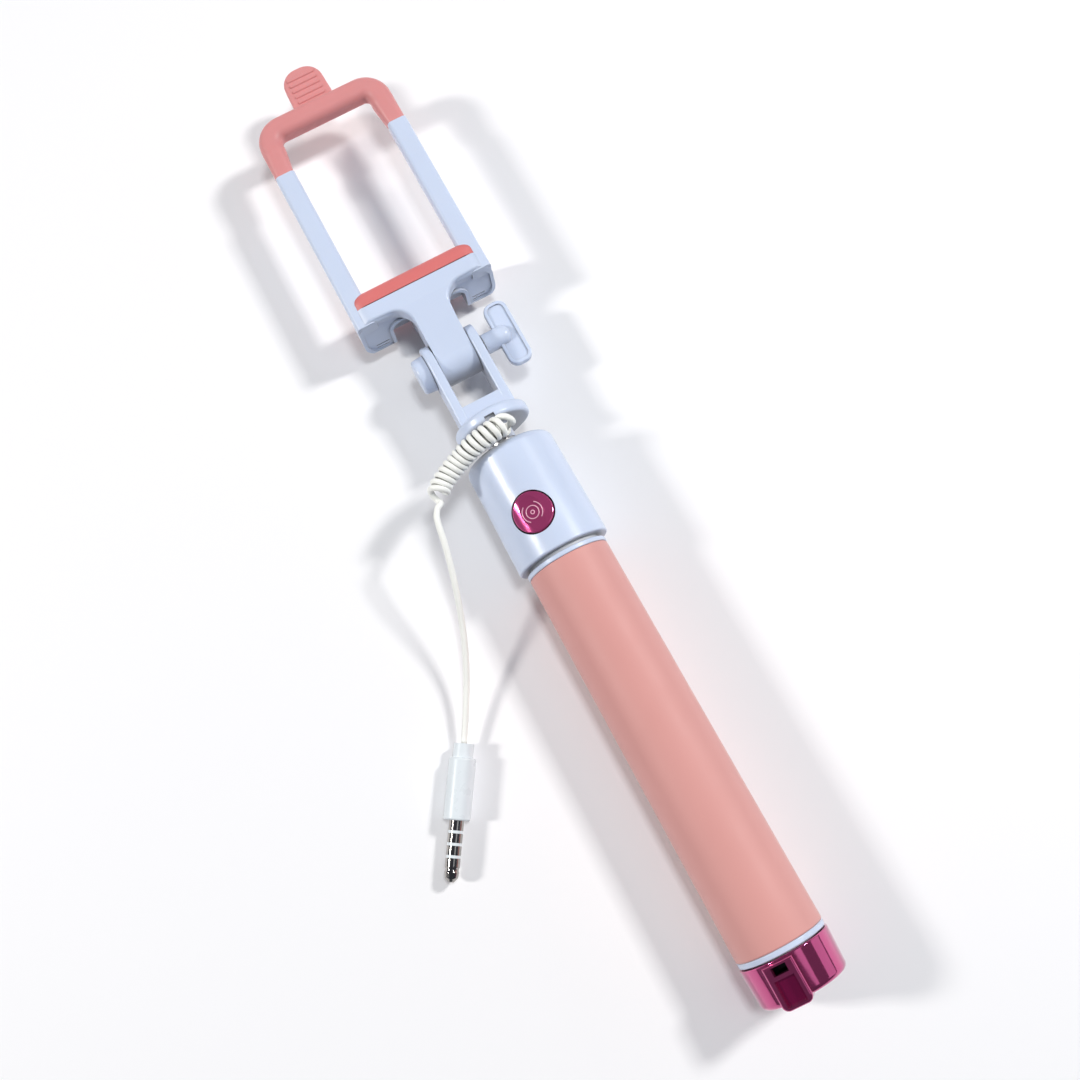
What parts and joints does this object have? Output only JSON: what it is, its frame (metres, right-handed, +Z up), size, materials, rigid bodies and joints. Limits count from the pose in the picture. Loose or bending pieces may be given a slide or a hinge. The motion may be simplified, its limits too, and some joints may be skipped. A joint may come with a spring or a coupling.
{
  "type": "selfie stick",
  "caption": "Telescopic selfie stick with a tilting spring clamp for a phone, a shutter button in the handle and a short coiled cord with an audio plug",
  "frame": {"origin": "on the table under the middle of the folded stick, measured without the free cord and its plug", "axes": "+X along the stick from the end cap to the phone clamp, +Z up, +Y to the side where the cord and plug lie"},
  "size_m": [0.2572, 0.0781, 0.0276],
  "materials": {
    "white_plastic": "glossy ABS, cool white",
    "magenta_chrome": "vacuum-metallised magenta plastic",
    "button_chrome": "metallised magenta button",
    "grip": "soft-touch salmon pink",
    "coral_silicone": "matte moulded silicone",
    "inner_plastic": "plain moulded",
    "steel": "drawn stainless tube",
    "plated_steel": "nickel plated",
    "brass": "turned brass",
    "bush": "acetal",
    "board": "solder mask",
    "black_plastic": "moulded",
    "cord": "soft PVC, ivory",
    "plug_plastic": "moulded white",
    "jack": "nickel plated brass"
  },
  "bodies": {
    "handle": {"end_cap": "magenta_chrome", "end_ring": "white_plastic", "grip_sleeve": "grip", "handle_core": "inner_plastic", "fixed_tube": "steel", "front_ring": "white_plastic", "button_housing": "white_plastic", "circuit_board": "board", "tact_switch": "black_plastic", "resistors": "black_plastic", "switch_wire": "cord", "inner_cable": "cord"},
    "button": {"shutter_button": "button_chrome", "switch_stem": "black_plastic"},
    "section_1": {"section_1_tube": "steel", "section_1_bush": "bush"},
    "section_2": {"section_2_tube": "steel", "section_2_bush": "bush"},
    "section_3": {"section_3_tube": "steel", "section_3_bush": "bush"},
    "section_4": {"section_4_tube": "steel", "section_4_bush": "bush"},
    "section_5": {"section_5_tube": "steel", "section_5_bush": "bush"},
    "fork": {"clevis": "white_plastic", "hinge_bolt": "plated_steel", "bolt_cap": "white_plastic", "lock_washer": "plated_steel", "cord_gland": "cord", "cord_tail": "cord", "cord_coil": "cord", "cord_lead": "cord", "plug_collar": "plug_plastic", "plug_body": "plug_plastic", "plug_sleeve": "jack", "plug_ring_1": "jack", "plug_ring_2": "jack", "plug_tip": "jack", "plug_insulators": "plug_plastic"},
    "wing_nut": {"wing_nut": "white_plastic", "nut_insert": "brass"},
    "clamp": {"jaw_body": "white_plastic", "jaw_pad": "coral_silicone", "rail_left": "white_plastic", "rail_right": "white_plastic", "spring_left": "plated_steel", "spring_right": "plated_steel"},
    "hook": {"hook": "coral_silicone", "rod_left": "steel", "rod_right": "steel"}
  },
  "joints": [
    {"name": "button_press", "type": "slide", "parent": "handle", "child": "button", "axis": [0, -0.2419, -0.9703], "range_m": [0, 0.0004], "stiffness_N_per_m": 4000, "springref_m": -0.0003},
    {"name": "section_1_slide", "type": "slide", "parent": "handle", "child": "section_1", "axis": [1, 0, 0], "range_m": [0, 0.098]},
    {"name": "section_2_slide", "type": "slide", "parent": "section_1", "child": "section_2", "axis": [1, 0, 0], "range_m": [0, 0.098]},
    {"name": "section_3_slide", "type": "slide", "parent": "section_2", "child": "section_3", "axis": [1, 0, 0], "range_m": [0, 0.098]},
    {"name": "section_4_slide", "type": "slide", "parent": "section_3", "child": "section_4", "axis": [1, 0, 0], "range_m": [0, 0.098]},
    {"name": "section_5_slide", "type": "slide", "parent": "section_4", "child": "section_5", "axis": [1, 0, 0], "range_m": [0, 0.098]},
    {"name": "fork_swivel", "type": "hinge", "parent": "section_5", "child": "fork", "pos_m": [0.0188, 0, 0.0117], "axis": [1, 0, 0], "range_deg": [-180, 180]},
    {"name": "wing_nut_turn", "type": "hinge", "parent": "fork", "child": "wing_nut", "pos_m": [0.0388, -0.012, 0.0117], "axis": [0, -1, 0], "continuous": true},
    {"name": "clamp_tilt", "type": "hinge", "parent": "fork", "child": "clamp", "pos_m": [0.0388, 0, 0.0117], "axis": [0, -1, 0], "range_deg": [-100, 100]},
    {"name": "hook_pull", "type": "slide", "parent": "clamp", "child": "hook", "axis": [1, 0, 0], "range_m": [0, 0.028], "stiffness_N_per_m": 250, "springref_m": -0.012}
  ]
}
